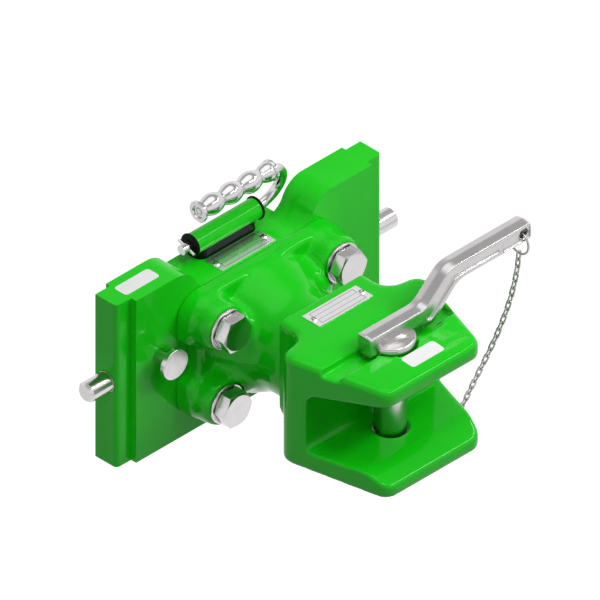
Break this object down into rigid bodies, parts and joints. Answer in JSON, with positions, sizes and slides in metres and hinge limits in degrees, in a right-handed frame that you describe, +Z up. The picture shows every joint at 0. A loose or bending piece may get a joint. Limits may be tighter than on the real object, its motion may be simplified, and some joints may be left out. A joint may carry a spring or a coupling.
{
  "type": "transport hitch",
  "caption": "Swivelling clevis trailer hitch on a height-adjustable slide frame, with spring-loaded lock pins, a lift handle and a drop-in coupling pin.",
  "frame": {"origin": "midway across the two tongues, midway through their thickness, at the height of the jaw's swivel axis", "axes": "+X across the frame, -Y out of the jaw's mouth, +Z up along the rails"},
  "size_m": [0.36, 0.2637, 0.2305],
  "materials": {
    "green_paint": "gloss enamel",
    "zinc_fasteners": "zinc plated",
    "turned_steel": "ground",
    "cast_lever": "forged and blasted",
    "plain_steel": "plain",
    "black_parts": "black oxide",
    "polished_steel": "polished",
    "aluminium_plate": "satin",
    "zinc_chain": "zinc plated",
    "bronze": "turned"
  },
  "bodies": {
    "frame": {"slide_frame": "green_paint", "rear_cover": "green_paint", "rear_cover_screws": "zinc_fasteners", "bearing_housing": "green_paint", "bearing_bolts": "zinc_fasteners", "bolt_washers": "zinc_fasteners", "hook_stud": "zinc_fasteners", "swivel_bush": "bronze", "frame_nameplate": "aluminium_plate", "frame_nameplate_rivets": "aluminium_plate", "lift_springs": "plain_steel"},
    "left_lock": {"left_lock_pin": "turned_steel", "left_follower": "turned_steel"},
    "right_lock": {"right_lock_pin": "turned_steel", "right_follower": "turned_steel"},
    "lift": {"lift_plate": "plain_steel", "lift_block": "black_parts", "handle_tube": "green_paint", "tube_end_rings": "black_parts"},
    "handle": {"handle_rod": "polished_steel", "handle_cross_pin": "polished_steel", "handle_grip": "polished_steel"},
    "jaw_assembly": {"jaw": "green_paint", "swivel_nut": "plain_steel", "thrust_washer": "plain_steel", "split_pin": "plain_steel", "jaw_nameplate": "aluminium_plate", "jaw_nameplate_rivets": "aluminium_plate", "chain_anchor": "zinc_chain", "chain": "zinc_chain"},
    "pin_assembly": {"coupling_pin": "turned_steel", "pin_lever": "cast_lever", "chain_ring": "zinc_chain"}
  },
  "joints": [
    {"name": "lift_slide", "type": "slide", "parent": "frame", "child": "lift", "axis": [0, 0, 1], "range_m": [0, 0.026], "stiffness_N_per_m": 800, "springref_m": -0.02, "deforming": ["lift_springs"]},
    {"name": "left_lock_slide", "type": "slide", "parent": "frame", "child": "left_lock", "axis": [1, 0, 0], "range_m": [0, 0.026]},
    {"name": "right_lock_slide", "type": "slide", "parent": "frame", "child": "right_lock", "axis": [-1, 0, 0], "range_m": [0, 0.026]},
    {"name": "handle_fold", "type": "hinge", "parent": "lift", "child": "handle", "pos_m": [0, 0.0181, 0.0723], "axis": [1, 0, 0], "range_deg": [-35, 70]},
    {"name": "jaw_swivel", "type": "hinge", "parent": "frame", "child": "jaw_assembly", "pos_m": [0, 0, 0], "axis": [0, 1, 0], "continuous": true},
    {"name": "pin_lift", "type": "slide", "parent": "jaw_assembly", "child": "pin_assembly", "axis": [0, 0, 1], "range_m": [0, 0.096], "deforming": ["chain"]}
  ],
  "couplings": [
    {"joint": "left_lock_slide", "follows": "lift_slide", "ratio": 1},
    {"joint": "right_lock_slide", "follows": "lift_slide", "ratio": 1}
  ]
}
